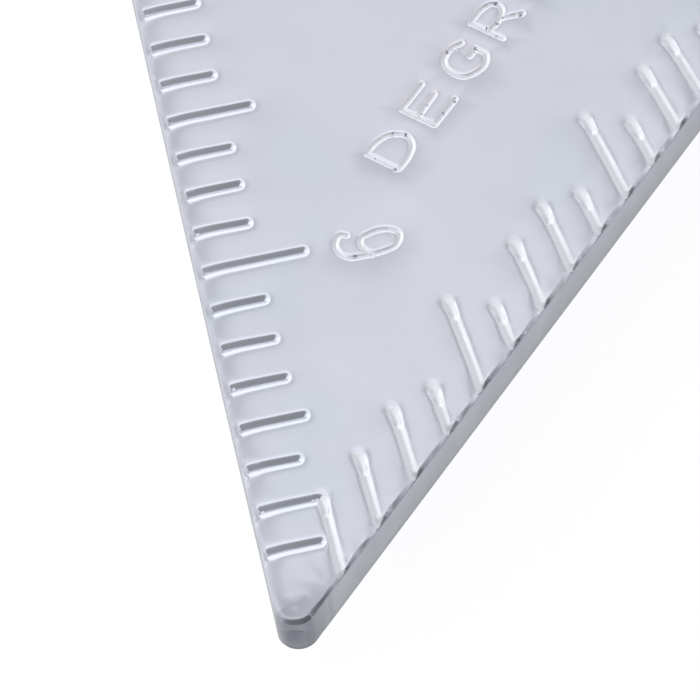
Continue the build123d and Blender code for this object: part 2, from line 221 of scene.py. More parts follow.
# ---------------------------------------------------------------- scales and lettering
class Groove:
    """A V groove from one point to another, with a soft dish about it.

    The flanks' widths, left and right of its bottom line, taper from the start to the end.  The ends
    reach past the two points, and over the ramp's length the groove curves up to nothing at its end.
    Its bottom is rounded by a share of a flank.  The right flank can rise at once by a share of the
    depth, and evenly from there.
    """
    sudden = 0.1                    # share of the right flank in which it rises at once
    ramp_power = 1.3                # of the ramp's curve
    cast = 0.0                      # how much rougher surface and painted highlight it has
    stain = 0.0                     # how much painted shade darkens its middle

    def __init__(self, start, end, left, right, depth, ends, dish, bottom, ramp=0.0, at_once=0.0):
        self.start, self.end = np.array(start, float), np.array(end, float)
        self.left, self.right, self.depth, self.ends, self.dish = left, right, depth, ends, dish
        self.bottom, self.ramp, self.at_once = bottom, ramp, at_once
        self.length = np.linalg.norm(self.end - self.start)
        self.along = (self.end - self.start) / self.length
        self.side = np.array([-self.along[1], self.along[0]])
        self.near = self.start[0] > VIEW_X

    def flanks(self, share):
        """Widths of the left and right flank at a share of the length."""
        return tuple(w[0] + (w[1] - w[0]) * share for w in (self.left, self.right))

    def drops(self, points):
        """Drops of the groove below its dish, negative outside it, and of the dish below the face."""
        offset = points - self.start
        along, lateral = offset @ self.along, offset @ self.side
        left, right = self.flanks(np.clip(along / self.length, 0, 1))
        flank = np.where(lateral > 0, left, right)
        over = np.maximum(np.maximum(-along, along - self.length), 0)
        end = np.where(along < 0, *self.ends)
        away = np.hypot(lateral / flank, over / end)
        steep = math.hypot(1, self.bottom) - self.bottom
        groove = 1 - (np.hypot(away, self.bottom) - self.bottom) / steep
        if self.at_once:
            slow = (1 - self.at_once) * (1 - away) / (1 - self.sudden)
            slow = np.maximum(slow, 1 - away * self.at_once / self.sudden)
            on_right = 0.5 * (1 - lateral / flank / np.maximum(away, 1e-6))
            groove += (slow - groove) * on_right
        if self.ramp:
            climb = np.maximum(1 - (self.length + self.ends[1] - along) / self.ramp, 0)
            rise = 1 - climb**self.ramp_power
            groove = np.where(rise > 0, np.minimum(groove, groove * rise), np.minimum(groove, rise))
        reach, dip = self.dish
        beyond = np.clip((np.hypot(lateral, over) - flank) / reach, 0, 1)
        return self.depth * groove, dip * (1 - beyond) ** 2

    def mesh_points(self):
        """Rows of points along the flanks, each at a share of a flank's width, and round the ends."""
        shares, step = (0, .4, .8, 1.1), 0.7
        if self.near:
            shares, step = (0, .22, .44, .66, .86, 1.04, 1.35, 2.0), 0.27
            if self.at_once:
                shares = (0, self.sudden, .18, .36, .6, .84, 1.02, 1.35, 2.0)
        made = []
        for share in np.linspace(0, 1, max(2, round(self.length / step) + 1)):
            middle = self.start + (self.end - self.start) * share
            left, right = self.flanks(share)
            for out in shares:
                made += [middle + self.side * left * out, middle - self.side * right * out]
        tails = (self.start, 0, -1, self.ends[0]), (self.end, 1, 1, self.ends[1])
        for place, share, sign, end in tails:
            left, right = self.flanks(share)
            for out in shares[1:]:
                turns = max(4, round(math.pi * out * (left + right) / step) + 1)
                for angle in np.linspace(0, math.pi, turns + 2)[1:-1]:
                    flank = left if math.cos(angle) > 0 else right
                    made.append(place + out * (self.side * flank * math.cos(angle)
                                               + sign * self.along * end * math.sin(angle)))
        return made


def uneven(value, spread):
    """The value with some scatter, up to this share of it either way."""
    return value * (1 + spread * rng.uniform(-1, 1))


def ruler_grooves():
    """Eighths of an inch along the ruled edge; the last four have lengths of their own."""
    inch_mark, half_mark, other_mark = 6.0, 4.79, 2.87
    tip_marks = {52: 3.54, 53: 2.47, 54: 3.2, 55: 2.66}
    outer, shift, bottom, at_once = -1.22, 0.06, 0.1, 0.38
    outer_end, inner_end = 0.2, 0.42
    steep_flank, slow_flank = (0.47, 0.41), (0.50, 0.45)
    length_spread, place_spread, share_spread = 0.05, 0.02, 0.06
    first, last = 4, 55
    made = []
    for count in range(first, last + 1):
        x = count * INCH / 8 + shift
        usual = inch_mark if count % 8 == 0 else half_mark if count % 4 == 0 else other_mark
        length = tip_marks.get(count, usual) + rng.normal(0, length_spread)
        start = (x + rng.normal(0, place_spread), uneven(outer, share_spread) + outer_end)
        end = (x + rng.normal(0, place_spread), length - inner_end)
        made.append(Groove(start, end, steep_flank, slow_flank, uneven(RULER_MARK_DEPTH, share_spread),
                           (outer_end, inner_end), RULER_MARK_DISH, bottom, at_once=at_once))
    return made


def degree_grooves():
    """One to the degree towards the pivot, with a wider head, and a chip where it leaves the edge."""
    long_mark, mid_mark, short_mark, last_mark = 7.6, 5.9, 3.9, 6.3
    length_spread, depth_spread = 0.06, 0.06
    overrun, outer_end, near_flank, far_flank, shaft_bottom, climb = 0.8, 0.3, 0.31, 0.35, 0.35, 1.5
    head_length, head_start, head_bottom, head_deeper = 1.3, 0.9, 0.7, 2.1
    chip_start, chip_ends, chip_dish, chip_bottom = 0.40, (0.3, 0.4), (0.3, 0.01), 0.8
    # These have a value and its scatter.
    head, chip_length, chip_flank = (0.46, 0.08), (0.30, 0.6), (0.42, 0.3)
    chip_depth, chip_shade = (0.06, 0.4), (0.6, 0.3)
    made = []
    for angle in range(1, 90):
        length = long_mark if angle % 5 == 0 else short_mark if angle % 5 in (1, 4) else mid_mark
        length = last_mark if angle == 89 else length
        length += rng.normal(0, length_spread)
        depth, wide = uneven(DEGREE_MARK_DEPTH, depth_spread), uneven(*head)
        edge = line_radius(angle, HYP_SUM)
        neck, middle = polar(edge - length + head_length, angle), polar(edge - length + wide, angle)
        shaft = Groove(polar(edge + overrun, angle), middle, (near_flank,) * 2, (far_flank,) * 2, depth,
                       (outer_end, wide), DEGREE_MARK_DISH, shaft_bottom, climb)
        bulb = Groove(neck, middle, (near_flank, wide), (far_flank, wide), depth * head_deeper,
                      (head_start, wide), DEGREE_MARK_DISH, head_bottom, climb)
        # The insides of the mark are rougher and carry a painted highlight.
        shaft.cast = bulb.cast = GROOVE_ROUGH_AND_HIGHLIGHT
        start = polar(edge, angle) + UP_HYP * chip_start
        end = start + UP_HYP * uneven(*chip_length)
        flank = (uneven(*chip_flank), chip_flank[0] / 2)
        chip = Groove(start, end, flank, flank, uneven(*chip_depth), chip_ends, chip_dish, chip_bottom)
        # Painted shade darkens the chip, standing in for the dark reflection where the mark runs out
        # over the edge.
        chip.stain = uneven(*chip_shade)
        made += [shaft, bulb, chip]
    return made


# Letters and figures on a grid one high: lists of corner points, or of points on a curve.
GLYPHS = {
    "0": [("curve", [(.21, 1), (.05, .84), (0, .5), (.05, .16), (.21, 0), (.37, .16), (.42, .5),
                     (.37, .84), (.21, 1)])],
    "1": [("line", [(.10, .80), (.24, 1), (.24, 0)])],
    "2": [("curve", [(.02, .80), (.09, .95), (.23, 1), (.38, .92), (.39, .72), (.27, .47), (0, 0)]),
          ("line", [(0, 0), (.42, 0)])],
    "3": [("curve", [(.01, .90), (.20, 1), (.37, .90), (.36, .66), (.18, .54)]),
          ("curve", [(.18, .54), (.40, .42), (.40, .14), (.21, 0), (0, .10)])],
    "4": [("line", [(.31, 0), (.31, 1), (0, .32), (.42, .32)])],
    "5": [("line", [(.38, 1), (.06, 1), (.03, .57)]),
          ("curve", [(.03, .57), (.22, .64), (.40, .50), (.41, .20), (.22, 0), (0, .08)])],
    "6": [("curve", [(.43, .79), (.47, .90), (.36, .985), (.24, 1), (.10, .94), (.01, .82), (0, .69),
                     (.0, .46), (.05, .16), (.15, .05), (.29, .01), (.39, .14), (.42, .32),
                     (.38, .50), (.33, .60), (.20, .62), (.06, .54), (.0, .46)])],
    "7": [("line", [(0, 1), (.42, 1), (.14, 0)])],
    "D": [("line", [(0, 1), (0, .02)]),
          ("curve", [(0, 1), (.40, .99), (.75, .86), (.94, .62), (.98, .36), (.78, .12), (.42, .02),
                     (0, .02)])],
    "E": [("line", [(.95, 1), (0, 1), (0, 0), (.98, 0)]), ("line", [(0, .5), (.84, .54)])],
    "G": [("curve", [(.96, .84), (.70, .97), (.42, .98), (.15, .85), (.02, .50), (.08, .18), (.42, -.02),
                     (.74, -.04), (.98, .10)]), ("line", [(.98, .10), (1.0, .42), (.70, .42)])],
    "R": [("line", [(0, 1), (0, 0)]),
          ("curve", [(0, 1), (.50, 1), (.82, .86), (.83, .58), (.52, .42), (.03, .44)]),
          ("line", [(.52, .42), (.95, 0)])],
    "S": [("curve", [(.84, .86), (.62, 1), (.22, .97), (.04, .76), (.25, .56), (.62, .46), (.84, .26),
                     (.66, .03), (.25, 0), (.02, .14)])],
}


def smooth_line(points):
    """Catmull-Rom curve through the points, with four steps from each to the next."""
    p = np.array(points, float)
    p = np.vstack([2 * p[0] - p[1], p, 2 * p[-1] - p[-2]])
    t = np.linspace(0, 1, 4, endpoint=False)[:, None]
    spans = []
    for a, b, c, d in zip(p, p[1:], p[2:], p[3:]):
        spans.append(0.5 * (2 * b + (c - a) * t + (2 * a - 5 * b + 4 * c - d) * t**2
                            + (3 * b - a - 3 * c + d) * t**3))
    return np.vstack(spans + [p[-2:-1]])


def lettering_strokes(text, at, along, up, height, pitch):
    """Text of this height from a point, in its reading direction, with a few pits in every stroke."""
    along, up, at = np.array(along, float), np.array(up, float), np.array(at, float)
    stroke_bottom, depth_spread = 0.15, 0.12
    pits, pit_off, pit_bottom = 2, 0.07, 0.3
    pit_size, pit_length, pit_depth = (0.09, 0.4), (0.12, 0.6), (0.20, 0.3)     # with their scatter
    made = []
    for place, character in enumerate(text):
        base = at + along * pitch * place
        for kind, points in GLYPHS[character]:
            line = smooth_line(points) if kind == "curve" else np.array(points, float)
            line = base + (line[:, :1] * along + line[:, 1:] * up) * height
            depth, flank = uneven(LETTER_DEPTH, depth_spread), (LETTER_HALF_W, LETTER_HALF_W)
            for start, end in zip(line, line[1:]):
                made.append(Groove(start, end, flank, flank, depth, flank, LETTER_DISH, stroke_bottom))
                # The strokes are rougher inside and carry a painted highlight.
                made[-1].cast = GROOVE_ROUGH_AND_HIGHLIGHT
            for spot in rng.integers(1, len(line), pits):
                share = rng.uniform(0, 1)
                pit = line[spot] * share + line[spot - 1] * (1 - share) + rng.normal(0, pit_off, 2)
                turn, size = rng.uniform(0, math.pi), (uneven(*pit_size),) * 2
                pit_end = pit + uneven(*pit_length) * np.array([math.cos(turn), math.sin(turn)])
                made.append(Groove(pit, pit_end, size, size, uneven(*pit_depth), size, LETTER_DISH,
                                   pit_bottom))
    return made


def ruler_figures():
    """Figures of the whole inches, with their tops towards the ruled edge."""
    height, base, beside = 4.3, 12.0, 0.5
    width = 0.42                    # share of the height
    made = []
    for inch in range(1, 7):
        start = (inch * INCH + beside + width * height / 2, base)
        made += lettering_strokes(str(inch), start, (-1, 0), (0, -1), height, 0)
    return made


def degree_lettering():
    """The tens of degrees inside their marks, and the unit's name along the foot of the scale."""
    word_height, word_pitch, word_start, base_inward = 2.6, 4.26, -95.1, 12.2
    figure_height, figure_pitch = 4.2, 3.0
    half_figure, figure_inward = 0.75, 1.2          # shares of the pitch and of the line's inset
    baseline = np.array([SCALE_LENGTH, SCALE_LENGTH]) / 2 + OFF_HYP * base_inward
    start = baseline + UP_HYP * word_start
    made = lettering_strokes("DEGREES", start, UP_HYP, OFF_HYP, word_height, word_pitch)
    for angle in range(10, 80, 10):
        inner = polar(line_radius(angle, SCALE_LENGTH) - base_inward * figure_inward, angle)
        shift = (inner - baseline) @ UP_HYP
        start = baseline + UP_HYP * (shift - figure_pitch * half_figure)
        made += lettering_strokes(str(angle), start, UP_HYP, OFF_HYP, figure_height, figure_pitch)
    return made


GROOVES = ruler_grooves() + degree_grooves() + ruler_figures() + degree_lettering()


# ---------------------------------------------------------------- heights of the top face
def blend_drops(first, second):
    """The lower of two surfaces, with their crease filled."""
    room = 0.04                     # the two blend where they are closer than this
    close = np.clip(room - np.abs(first - second), 0, None) / room
    return np.maximum(first, second) + close**2 * room / 4


def groove_drops(points):
    """Drops of the deepest groove and of the deepest dish at each point, and the grooves' shares of
    rougher surface with painted highlight and of painted shade.
    """
    shade_spread = 0.2               # how far painted shade reaches out of its groove, as a share of the depth
    groove, dish = np.full(len(points), -1.0), np.zeros(len(points))
    cast, stain = np.zeros(len(points)), np.zeros(len(points))
    for one in GROOVES:
        room = max(*one.left, *one.right, *one.ends) + one.dish[0]
        low, high = np.minimum(one.start, one.end) - room, np.maximum(one.start, one.end) + room
        near = np.flatnonzero(((points > low) & (points < high)).all(1))
        if len(near):
            deep, dip = one.drops(points[near])
            cast[near] = np.where(deep > groove[near], one.cast, cast[near])
            middle = np.clip(deep / one.depth + shade_spread, 0, 1)
            stain[near] = np.maximum(stain[near], one.stain * middle)
            groove[near] = np.maximum(groove[near], deep)
            dish[near] = np.maximum(dish[near], dip)
    return groove, dish, cast, stain


def waves(points, short, long):
    """A random swell with wavelengths between the two, about 1 high."""
    count = 40
    length = short * (long / short) ** rng.uniform(0, 1, count)
    angle, phase = rng.uniform(0, 2 * math.pi, (2, count))
    across = np.column_stack([np.cos(angle), np.sin(angle)]) * (2 * math.pi / length)[:, None]
    return np.sin(points @ across.T + phase).sum(1) * math.sqrt(2 / count)


class Edge:
    """The plate's edges in plan, and how far their rounding drops at a point near them."""

    def __init__(self, loops, roundings):
        self.before = np.vstack([np.roll(loop, 1, axis=0) for loop in loops])
        self.points = np.vstack(loops)
        self.after = np.vstack([np.roll(loop, -1, axis=0) for loop in loops])
        self.rounding = np.vstack(roundings)
        on_hyp = np.abs(self.points.sum(1) - HYP_SUM) < ON_EDGE
        most = 1.6
        swell = np.clip(waves(self.points, short=1.5, long=5.0), -most, most)
        self.swell = 1 + EDGE_UNEVEN * swell * on_hyp
        self.tree = KDTree(len(self.points))
        for index, point in enumerate(self.points):
            self.tree.insert((point[0], point[1], 0), index)
        self.tree.balance()

    def drop(self, points, even=True):
        """Drop of the rounding, and how far it takes on the side walls' duller finish and painted shade,
        which come with its slope.

        At the top the rounding isn't even: there it swells, and takes on less of them.
        """
        steep_from, steep_over = 1.3, 1.5       # slope where the walls' finish and painted shade come in, and over how much
        dull_and_shade_reach, level_least = 1.5, 0.02
        nearest = np.array([self.tree.find((p[0], p[1], 0))[1] for p in points])
        away = np.full(len(points), np.inf)
        for ends in (self.before, self.after):
            start, line = self.points[nearest], ends[nearest] - self.points[nearest]
            offset = points - start
            along = np.clip((offset * line).sum(1) / (line * line).sum(1), 0, 1)
            away = np.minimum(away, np.linalg.norm(offset - along[:, None] * line, axis=1))
        width, height, crisp, dull_and_shade = self.rounding[nearest].T
        swell = 1.0 if even else self.swell[nearest]
        inward = np.clip(1 - away / (width * swell), 0, 1)
        level = np.sqrt(1 - inward**2)
        share, slope = 1 - level, inward / np.maximum(level, level_least)
        slope = height / width * (slope + (1 - slope) * crisp) * (inward > 0)
        steep = np.clip((slope - steep_from) / steep_over, 0, 1 if even else STEEP_DULL_AND_SHADE)
        # The wall share puts the walls' painted shade, with their rougher finish, onto steep roundings
        # and onto those of the ruled edge and the tip.
        wall = np.maximum(steep, dull_and_shade * np.clip(dull_and_shade_reach * inward, 0, 1))
        return height * swell * (share + (inward - share) * crisp), wall


def edge_rolls(points):
    """Slow fall of the face towards the ruled edge and the hypotenuse."""
    width, height, power = RULED_ROLL
    inward = np.clip(1 - (points[:, 1] + RULER_MARGIN) / width, 0, 1)
    ruled = height * inward**power * (points[:, 0] > EAR_R)
    width, height, power = HYP_ROLL
    inward = np.clip(1 - (HYP_SUM - points.sum(1)) / math.sqrt(2) / width, 0, 1)
    return np.maximum(ruled, height * inward**power * (points[:, 0] > 0))


def tip_wear(points):
    """The blunt tip slopes down a little before its rounding."""
    start, slope, lean = 178.3, 0.06, 0.35
    return slope * np.clip(points[:, 0] + lean * points[:, 1] - start, 0, None)


def worn_share(points, start, fade, lean):
    """How far the tip is darkened, beyond a wavering line that leans back from the ruled edge."""
    waver = 0.25
    away = points[:, 0] + lean * points[:, 1] - start + waver * waves(points, short=0.7, long=2.5)
    return np.clip(away / fade, 0, 1)


def unevenness(points):
    """The face isn't quite flat, least of all along the hypotenuse."""
    calm, lively, reach = 0.003, 0.012, 7.0
    to_edge = (HYP_SUM - points.sum(1)) / math.sqrt(2)
    near = np.exp(-np.clip(to_edge, 0, None) / reach)
    return (calm * waves(points, short=3.0, long=9.0)
            + lively * near * waves(points, short=1.3, long=4.0))


def top_relief(points, edge):
    """Heights of the top face, and the shares of the walls' duller finish with painted shade, of the
    grooves' rougher surface with painted highlight, and of painted shade.
    """
    lead, fade = 0.02, 0.05         # a groove's finish starts this far above the face, over this depth
    groove, dish, cast, stain = groove_drops(points)
    rounding, wall = edge.drop(points, even=False)
    base = edge_rolls(points) + tip_wear(points) + unevenness(points) + dish
    surface, groove = base + rounding, base + groove
    in_groove = np.clip((groove - surface + lead) / fade, 0, 1)
    return PLATE_TOP - blend_drops(surface, groove), wall * (1 - in_groove), cast * in_groove, stain


# ---------------------------------------------------------------- mesh of the plate
def rounding_of(loop, value, outer=False):
    """Rounding at each point of a loop; on the outer one the ruled edge and the tip have their own."""
    ruled_reach, ruled_fade, tip_start, tip_fade = 0.9, 0.5, 178.6, 0.8
    made = np.tile(value, (len(loop), 1))
    if outer:
        ruled = np.clip((-RULER_MARGIN + ruled_reach - loop[:, 1:]) / ruled_fade, 0, 1)
        ruled = ruled * (loop[:, :1] > 0)
        at_tip = np.clip((loop[:, :1] - tip_start) / tip_fade, 0, 1)
        made = made * (1 - ruled) + np.array(RULED_EDGE) * ruled
        made = made * (1 - at_tip) + np.array(TIP_EDGE) * at_tip
    return made


def bow_in(loop):
    """Moves the end of the ruled edge a little into the plate, as it wears away near the tip."""
    start, length, fade = 158.0, 20.0, 3.0
    share = np.clip((loop[:, 0] - start) / length, 0, 1)
    share = share**2 * (3 - 2 * share) * np.clip((fade - RULER_MARGIN - loop[:, 1]) / fade, 0, 1)
    return loop + np.column_stack([np.zeros(len(loop)), TIP_BOW * share])


def inset(loop, distance):
    """The loop moved into the material, which lies on its left."""
    along = np.roll(loop, -1, axis=0) - np.roll(loop, 1, axis=0)
    along /= np.linalg.norm(along, axis=1)[:, None]
    return loop + distance * np.column_stack([-along[:, 1], along[:, 0]])


def thin(points, keep_clear, room, cell, owners=None):
    """Leaves out points within this room of those to keep clear, and in cells another owner has."""
    tree = KDTree(len(keep_clear))
    for index, point in enumerate(keep_clear):
        tree.insert((point[0], point[1], 0), index)
    tree.balance()
    owners = range(len(points)) if owners is None else owners
    seen, made = {}, []
    for owner, p in zip(owners, points):
        key = (round(p[0] / cell), round(p[1] / cell))
        if seen.setdefault(key, owner) == owner and tree.find((p[0], p[1], 0))[2] > room:
            made.append(p)
    return np.array(made).reshape(-1, 2)


def crossings_inside(points, loops):
    """Whether each point lies in the material, by counting the edges to its right."""
    inside = np.zeros(len(points), bool)
    for loop in loops:
        for (x0, y0), (x1, y1) in zip(loop, np.roll(loop, -1, axis=0)):
            spans = (y0 > points[:, 1]) != (y1 > points[:, 1])
            if spans.any():
                at = x0 + (points[spans, 1] - y0) / (y1 - y0) * (x1 - x0)
                inside[np.flatnonzero(spans)[points[spans, 0] < at]] ^= True
    return inside


def triangulate(points, loops):
    """Triangles of the face inside the outer loop and outside the holes."""
    edges, start = [], 0
    for loop in loops:
        count = len(loop)
        edges += [(start + k, start + (k + 1) % count) for k in range(count)]
        start += count
    flat = [Vector(p) for p in points]
    every_triangle, merge_within = 0, 1e-6
    result = delaunay_2d_cdt(flat, edges, [], every_triangle, merge_within, True)
    source = [ids[0] if ids else -1 for ids in result[3]]
    triangles = np.array([[source[v] for v in face] for face in result[2]])
    triangles = triangles[(triangles >= 0).all(1)]
    on_edge = (triangles < start).all(1)
    middles = points[triangles[on_edge]].mean(1)
    keep = np.ones(len(triangles), bool)
    keep[np.flatnonzero(on_edge)[~crossings_inside(middles, loops)]] = False
    return triangles[keep]


def fill_points(loops, step):
    """A staggered grid over the plate's face."""
    row_height = 0.87               # share of the step
    rows = np.arange(-EAR_R, HYP_SUM, step * row_height)
    points = np.array([(x + (row % 2) * step / 2, y) for row, y in enumerate(rows)
                       for x in np.arange(-WEB_W, HYP_SUM, step)])
    return points[crossings_inside(points, loops)]


def beside_loops(loops, outer_rows, hole_rows):
    """The loops' points, then rows of points at these distances from them, in the material."""
    rows = [inset(loops[0], distance) for distance in outer_rows]
    rows += [inset(loop, distance) for loop in loops[1:] for distance in hole_rows]
    return np.vstack(loops + rows)


def top_plan(loops):
    """Points of the top face in plan: along the edges, in and about the grooves, and between."""
    outer_rows = (0.02, 0.06, 0.11, 0.17, 0.24, 0.33, 0.46, 0.7, 1.1)
    hole_rows = (0.03, 0.08, 0.16, 0.24, 0.33, 0.7)
    clear_of_ruled, groove_room, groove_cell = 0.36, 0.03, 0.07
    fill_step, fill_room, fill_cell = 2.4, 0.9, 0.5
    placed = beside_loops(loops, outer_rows, hole_rows)
    grooves = [one.mesh_points() for one in GROOVES]
    owners = np.repeat(np.arange(len(grooves)), [len(one) for one in grooves])
    grooves = np.vstack(grooves)
    kept = crossings_inside(grooves, loops) & (grooves[:, 1] > clear_of_ruled - RULER_MARGIN)
    placed = np.vstack([placed, thin(grooves[kept], placed, groove_room, groove_cell, owners[kept])])
    return np.vstack([placed, thin(fill_points(loops, fill_step), placed, fill_room, fill_cell)])


def under_plan(loops):
    """Points of the underside in plan: along the edges and between."""
    outer_rows, hole_rows = (0.06, 0.18, 0.34, 0.55), (0.1, 0.33)
    fill_step, fill_room, fill_cell = 6.0, 1.5, 1.0
    placed = beside_loops(loops, outer_rows, hole_rows)
    return np.vstack([placed, thin(fill_points(loops, fill_step), placed, fill_room, fill_cell)])


def wall_quads(loops, levels):
    """Quads from one level of the loops' points to the next one down."""
    quads, start = [], 0
    for loop in loops:
        here = start + np.arange(len(loop))
        ahead = np.roll(here, -1)
        quads += [np.column_stack([below[here], below[ahead], above[ahead], above[here]])
                  for above, below in zip(levels, levels[1:])]
        start += len(loop)
    return np.vstack(quads)


def make_mesh(name, points, faces, material, shares):
    """An object with smooth shading from points in millimetres, with named shares for its finish."""
    mesh = bpy.data.meshes.new(name)
    mesh.from_pydata((np.asarray(points) * MM).tolist(), [], [list(map(int, f)) for f in faces])
    mesh.materials.append(material)
    for label, values in shares.items():
        attribute = mesh.attributes.new(label, "FLOAT", "POINT")
        attribute.data.foreach_set("value", np.asarray(values, np.float32))
    mesh.polygons.foreach_set("use_smooth", np.ones(len(mesh.polygons), bool))
    mesh.update()
    piece = bpy.data.objects.new(name, mesh)
    bpy.context.scene.collection.objects.link(piece)
    return piece


def crease(piece, count):
    """Ends the smooth shading at the edges between the first points, which are the face's border."""
    edges = piece.data.edges
    ends = np.empty(2 * len(edges), np.int32)
    edges.foreach_get("vertices", ends)
    edges.foreach_set("use_edge_sharp", (ends.reshape(-1, 2) < count).all(1))


def tip_dent(points):
    """Moves points of the side wall into the nick on the front of the tip."""
    middle, size, depth = np.array([180.05, -0.5, 0.2]), np.array([0.8, 0.48, 0.24]), 0.42
    near = np.exp(-(((points - middle) / size) ** 2).sum(1))
    inward = np.array([-0.93, 0.36, 0])
    return points + near[:, None] * depth * inward


def plate_mesh(material):
    """Top and bottom faces over the same edge points, joined by the side walls."""
    wall_levels = (0.004, 0.14, 0.26, 0.35, 0.44, 0.56, 0.75)       # shares of the way down
    # The tip's walls and underside are darkened as painted shade, and its top beyond a wavering line.
    wall_tip_shade, top_tip_darkening = (178.0, 2.0, 0.0), (177.9, 0.9, 0.35)
    top_darkening_most = 0.62
    loops = [bow_in(divide(plate_outline())), divide(window_outline()), divide(slot_outline())]
    hang = polar(HYP_SUM / math.sqrt(2) - HANG_HOLE_INSET, 45)
    loops += [circle(hang, HANG_HOLE_R), circle((0, 0), BUSH_R)]
    roundings = [rounding_of(loops[0], HYP_EDGE, outer=True)]
    roundings += [rounding_of(loop, HOLE_EDGE) for loop in loops[1:]]
    edge = Edge(loops, roundings)
    border = np.vstack(loops)
    count = len(border)

    top = top_plan(loops)
    height, wall, cast, stain = top_relief(top, edge)
    under = under_plan(loops)
    under_rounding, under_wall = edge.drop(under)
    under_height = under_rounding - PLATE_TOP

    points = [np.column_stack([top, height]), np.column_stack([under, under_height])]
    walls, belows = [wall, under_wall], [np.zeros(len(top)), np.ones(len(under))]
    total = len(top) + len(under)
    levels = [np.arange(count)]
    for share in wall_levels:
        z = height[:count] * (1 - share) + under_height[:count] * share
        points.append(tip_dent(np.column_stack([border, z])))
        walls.append(np.ones(count))
        belows.append(np.full(count, share))
        levels.append(total + np.arange(count))
        total += count
    levels.append(len(top) + np.arange(count))

    under_faces = triangulate(under, loops)[:, ::-1] + len(top)
    groups = (triangulate(top, loops), under_faces, wall_quads(loops, levels))
    faces = [list(face) for group in groups for face in group]
    points = np.vstack(points)
    darkening = worn_share(points[:, :2], *wall_tip_shade)
    # On the top the tip's darkening meets the chips' painted shade.
    darkening[:len(top)] = np.maximum(top_darkening_most * worn_share(top, *top_tip_darkening), stain)
    cast = np.concatenate([cast, np.zeros(len(points) - len(top))])
    shares = {"wall": np.concatenate(walls), "below": np.concatenate(belows), "darkening": darkening, "cast": cast}
    piece = make_mesh("plate_casting", points, faces, material, shares)
    crease(piece, count)
    return piece


# ---------------------------------------------------------------- materials
class Finish:
    """A node material built around one Principled shader."""

    def __init__(self, name, color, metallic, roughness):
        self.material = bpy.data.materials.new(name)
        self.material.use_nodes = True
        self.nodes = self.material.node_tree.nodes
        self.links = self.material.node_tree.links
        self.shader = self.nodes["Principled BSDF"]
        self.shader.inputs["Base Color"].default_value = (*color, 1)
        self.shader.inputs["Metallic"].default_value = metallic
        self.shader.inputs["Roughness"].default_value = roughness
        self.place = self.nodes.new("ShaderNodeTexCoord").outputs["Object"]

    def noise(self, size_mm, detail, roughness=0.5, stretch=(1, 1, 1)):
        """Noise whose features are about this large."""
        mapping = self.nodes.new("ShaderNodeMapping")
        mapping.inputs["Scale"].default_value = [s / (size_mm * MM) for s in stretch]
        texture = self.nodes.new("ShaderNodeTexNoise")
        texture.inputs["Scale"].default_value = 1
        texture.inputs["Detail"].default_value = detail
        texture.inputs["Roughness"].default_value = roughness
        self.links.new(self.place, mapping.inputs["Vector"])
        self.links.new(mapping.outputs["Vector"], texture.inputs["Vector"])
        return texture.outputs["Fac"]

    def ramp(self, source, *stops):
        """Colours along a value; a stop is a place and a colour or a grey."""
        ramp = self.nodes.new("ShaderNodeValToRGB")
        elements = ramp.color_ramp.elements
        while len(elements) < len(stops):
            elements.new(0.5)
        for element, (place, color) in zip(elements, stops):
            element.position = place
            element.color = (*color, 1) if hasattr(color, "__len__") else (color, color, color, 1)
        self.links.new(source, ramp.inputs["Fac"])
        return ramp.outputs["Color"]

    def between(self, source, low, high):
        """From one colour or grey to another over the usual range of a noise."""
        return self.ramp(source, (0.3, low), (0.7, high))

    def attribute(self, name):
        """One of the mesh's named shares."""
        node = self.nodes.new("ShaderNodeAttribute")
        node.attribute_name = name
        return node.outputs["Fac"]

    def mix(self, share, first, second):
        """The first where the share is nothing and the second, an output or a colour, where it is 1."""
        node = self.nodes.new("ShaderNodeMix")
        node.data_type = "RGBA"
        self.links.new(share, node.inputs[0])
        self.links.new(first, node.inputs[6])
        if isinstance(second, tuple):
            node.inputs[7].default_value = (*second, 1)
        else:
            self.links.new(second, node.inputs[7])
        return node.outputs[2]

    def color(self, source):
        self.links.new(source, self.shader.inputs["Base Color"])

    def roughness(self, source):
        self.links.new(source, self.shader.inputs["Roughness"])

    def bump(self, *layers):
        """Layers of height, each a source and its depth in micrometres."""
        last = None
        for source, depth in layers:
            bump = self.nodes.new("ShaderNodeBump")
            bump.inputs["Distance"].default_value = depth * 1e-6
            self.links.new(source, bump.inputs["Height"])
            if last:
                self.links.new(last, bump.inputs["Normal"])
            last = bump.outputs["Normal"]
        self.links.new(last, self.shader.inputs["Normal"])


def shaded(color, share):
    """The colour times a share."""
    return tuple(part * share for part in color)


